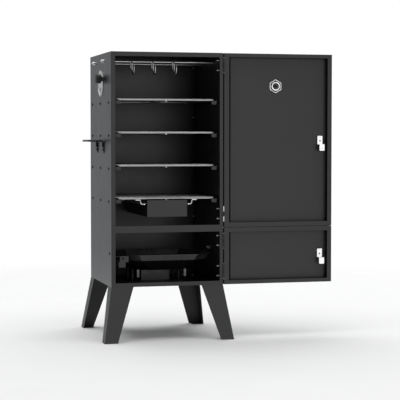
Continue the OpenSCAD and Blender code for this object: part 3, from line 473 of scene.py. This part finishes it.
def bar(bm, centre, size, turn):
    """A small box of the given width, depth, length and distance out from centre, turned about Y."""
    width, depth, length, out = size
    verts = bmesh.ops.create_cube(bm, size=1)["verts"]
    for v in verts:
        v.co = Vector((v.co.x * width, v.co.y * depth, v.co.z * length + out))
        v.co = Matrix.Rotation(turn, 3, "Y") @ v.co + centre


def build_dial_marks():
    """The scale on the dial: plain strokes, every third one longer, with nothing written on it."""
    lo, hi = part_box("thermometer_dial")
    centre = Vector(((lo[0] + hi[0]) / 2, hi[1] + MARK_PROUD, (lo[2] + hi[2]) / 2))
    rim = (hi[0] - lo[0]) / 2 - MARK_MARGIN
    bm = bmesh.new()
    for i in range(DIAL_MARKS):
        long_one = i % LONG_MARK_EVERY == 0
        length = 0.007 if long_one else 0.004
        width = 0.0009 if long_one else 0.0005
        turn = math.radians(-DIAL_SWEEP / 2 + i * DIAL_SWEEP / (DIAL_MARKS - 1))
        bar(bm, centre, (width, 0.0002, length, rim - length / 2), turn)
    mesh = bpy.data.meshes.new("dial_marks")
    bm.to_mesh(mesh)
    bm.free()
    black = paint("dial_print", (0.01, 0.01, 0.01), rough=0.6, relief=0.000005, crevice_shade=None)
    mesh.materials.append(black)
    o = bpy.data.objects.new("dial_marks", mesh)
    bpy.context.scene.collection.objects.link(o)
    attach(o, "upper_door")


dress_frame()
soften_edges()
build_dial_marks()

# ---------------------------------------------------------------- camera, light and floor

SENSOR = 36
FILL = 0.33
FLOOR_HALF = 60


def add_camera():
    """The camera looks from the left, a little above the middle of the cabinet."""
    azimuth, elevation = math.radians(-14.774), math.radians(2.584)
    distance, lens = 5.6676, 126.1
    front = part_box("left_panel")[0][1]
    aim = Vector((0.1344, front, 0.5658))
    back = Vector((
        math.sin(azimuth) * math.cos(elevation),
        -math.cos(azimuth) * math.cos(elevation),
        math.sin(elevation),
    ))
    data = bpy.data.cameras.new("camera")
    data.lens = lens
    data.sensor_width = SENSOR
    data.clip_start = 0.05
    cam = bpy.data.objects.new("camera", data)
    cam.location = aim + back * distance
    cam.rotation_euler = (-back).to_track_quat("-Z", "Y").to_euler()
    bpy.context.scene.collection.objects.link(cam)
    bpy.context.scene.camera = cam


def add_area(name, location, target, size, radiance, colour=(1, 1, 1)):
    """A softbox of the given size in metres and surface radiance, unseen by the camera."""
    data = bpy.data.lights.new(name, "AREA")
    data.shape = "RECTANGLE"
    data.size, data.size_y = size
    data.energy = radiance * math.pi * size[0] * size[1]
    data.color = colour
    o = bpy.data.objects.new(name, data)
    o.location = location
    o.rotation_euler = (Vector(target) - Vector(location)).to_track_quat("-Z", "Y").to_euler()
    o.visible_camera = False
    bpy.context.scene.collection.objects.link(o)


def add_world():
    """White to the camera, an even soft studio fill to everything else."""
    world = bpy.data.worlds.new("studio")
    world.use_nodes = True
    t = world.node_tree
    out = t.nodes["World Output"]
    seen = t.nodes["Background"]
    seen.inputs["Color"].default_value = (1, 1, 1, 1)
    seen.inputs["Strength"].default_value = 1.02
    fill = t.nodes.new("ShaderNodeBackground")
    fill.inputs["Color"].default_value = (0.98, 0.99, 1, 1)
    fill.inputs["Strength"].default_value = FILL
    path = t.nodes.new("ShaderNodeLightPath")
    mix = t.nodes.new("ShaderNodeMixShader")
    t.links.new(path.outputs["Is Camera Ray"], mix.inputs["Fac"])
    t.links.new(fill.outputs["Background"], mix.inputs[1])
    t.links.new(seen.outputs["Background"], mix.inputs[2])
    t.links.new(mix.outputs["Shader"], out.inputs["Surface"])
    bpy.context.scene.world = world


def add_floor():
    """A floor wide enough to reach past every view."""
    mesh = bpy.data.meshes.new("floor")
    corners = [(x * FLOOR_HALF, y * FLOOR_HALF, 0) for x, y in ((-1, -1), (1, -1), (1, 1), (-1, 1))]
    mesh.from_pydata(corners, [], [(0, 1, 2, 3)])
    o = bpy.data.objects.new("floor", mesh)
    mesh.materials.append(floor_material("floor"))
    bpy.context.scene.collection.objects.link(o)


add_camera()
add_world()
add_floor()
add_area("front", (1.5, -6, 1.0), (0, 0, 0.8), (3.0, 2.6), 1.9)
add_area("back_left", (-1.6, 5, 1.0), (-0.23, 0, 0.8), (3, 3), 0.26, (0.87, 0.95, 1))
add_area("back_right", (4, 3.5, 1.4), (0, 0, 0.7), (3, 3), 0.9)
add_area("overhead", (0, 0.5, 4.5), (0, 0.5, 0), (6, 6), 2.1)

bpy.context.scene.view_settings.view_transform = "Standard"
bpy.context.scene.view_settings.look = "None"
